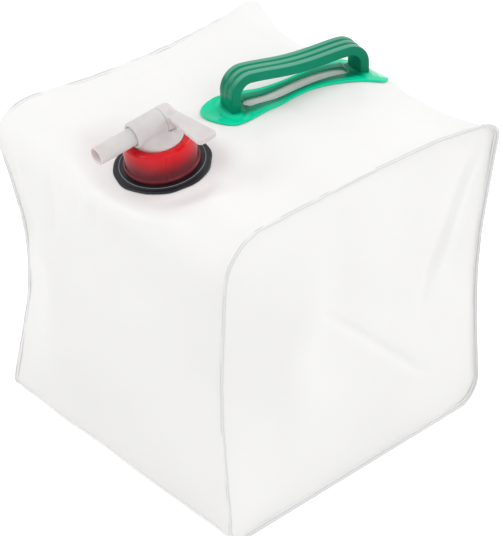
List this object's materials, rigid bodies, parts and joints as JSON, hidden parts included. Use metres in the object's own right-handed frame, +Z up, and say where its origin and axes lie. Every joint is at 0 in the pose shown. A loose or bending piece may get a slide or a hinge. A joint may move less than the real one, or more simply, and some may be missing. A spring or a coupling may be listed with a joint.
{
  "type": "collapsible water carrier",
  "caption": "Soft square film bag for water with a carrying handle, a screw ring on a welded neck and a lever tap; it folds down flat when empty.",
  "frame": {"origin": "middle of the whole part's footprint, on the surface it stands on", "axes": "+Z up; -Y forward, the way the spout looks; the welded side panels face +X and -X"},
  "size_m": [0.233, 0.247, 0.2634],
  "materials": {
    "film": "translucent, slightly frosted soft film",
    "black_plastic": "moulded, satin",
    "red_plastic": "moulded, glossy",
    "natural_plastic": "undyed, waxy and slightly translucent",
    "green_plastic": "moulded, satin gloss",
    "dark_green_plastic": "moulded, glossy",
    "seal": "soft, matte"
  },
  "bodies": {
    "bag": {"bag_wrap": "film", "side_panel_right": "film", "side_panel_left": "film"},
    "top_fittings": {"neck": "black_plastic", "handle_base": "green_plastic", "handle_grip": "dark_green_plastic"},
    "tap_housing": {"tap_body": "natural_plastic", "tap_seal": "seal"},
    "cap_ring": {"cap_ring": "red_plastic"},
    "tap_rotor": {"tap_rotor": "natural_plastic"}
  },
  "joints": [
    {"name": "bag_collapse", "type": "slide", "parent": "bag", "child": "top_fittings", "axis": [0, 0, -1], "range_m": [0, 0.175], "deforming": ["bag_wrap", "side_panel_right", "side_panel_left"]},
    {"name": "tap_lift", "type": "slide", "parent": "top_fittings", "child": "tap_housing", "axis": [0, -0.1736, 0.9848], "range_m": [0, 0.016]},
    {"name": "cap_ring_turn", "type": "hinge", "parent": "tap_housing", "child": "cap_ring", "pos_m": [0.00242, -0.07219, 0.22147], "axis": [0, -0.1736, 0.9848], "range_deg": [0, 1440]},
    {"name": "tap_lever_turn", "type": "hinge", "parent": "tap_housing", "child": "tap_rotor", "pos_m": [0.00242, -0.07773, 0.25289], "axis": [-0.0872, -0.9811, -0.173], "range_deg": [0, 90]}
  ],
  "couplings": [
    {"joint": "tap_lift", "follows": "cap_ring_turn", "m_per_rad": 0.0006366}
  ]
}
